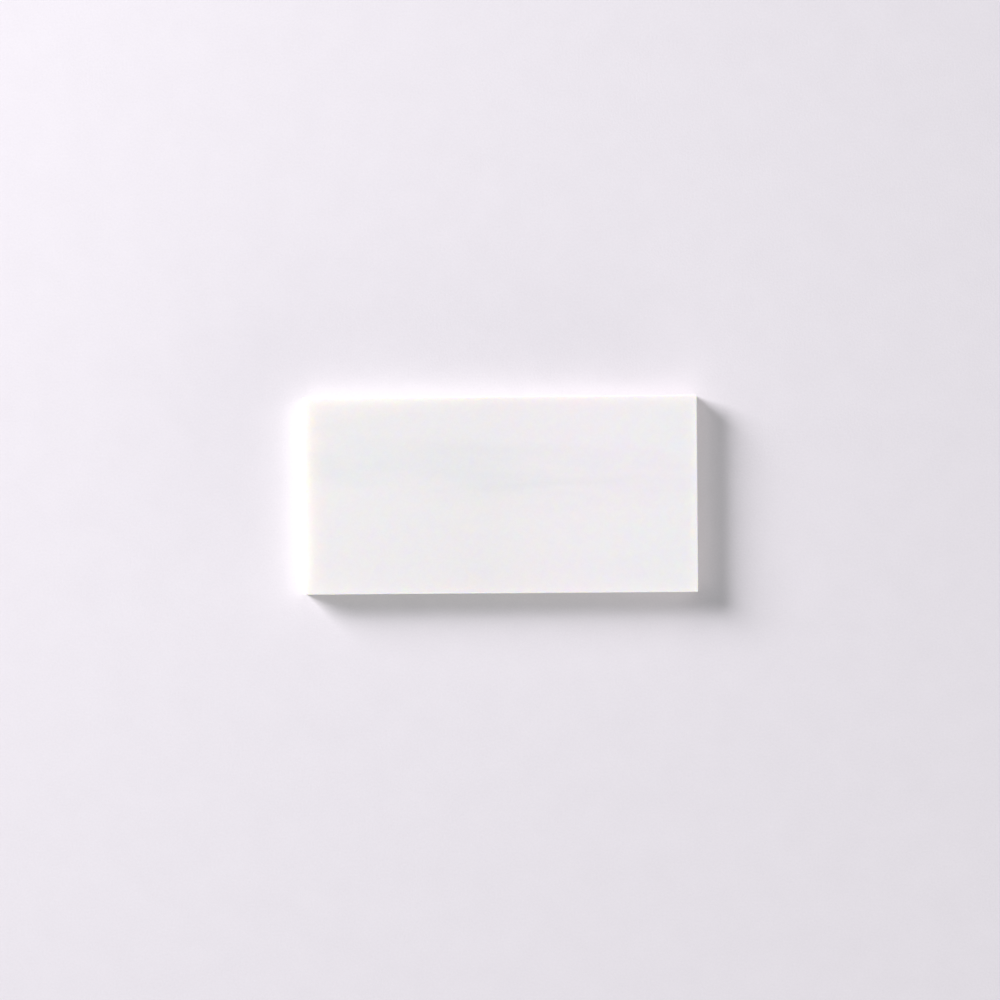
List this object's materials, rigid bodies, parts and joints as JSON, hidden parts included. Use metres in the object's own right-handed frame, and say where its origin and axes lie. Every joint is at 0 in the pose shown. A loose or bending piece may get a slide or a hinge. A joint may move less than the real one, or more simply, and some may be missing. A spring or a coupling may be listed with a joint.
{
  "type": "subway wall tile",
  "caption": "Rectangular white marble wall tile, twice as long as wide, honed on its face, with sawn edges, a flat sawn back and a fine rubbed arris round the face.",
  "frame": {"origin": "centre of the back face, which lies on the floor or beds on the wall", "axes": "+X along the tile's long side, +Y across it, +Z out of the honed face"},
  "size_m": [0.1524, 0.0762, 0.0095],
  "materials": {
    "honed_marble": "satin"
  },
  "bodies": {
    "root": {"marble_tile": "honed_marble"}
  },
  "joints": []
}
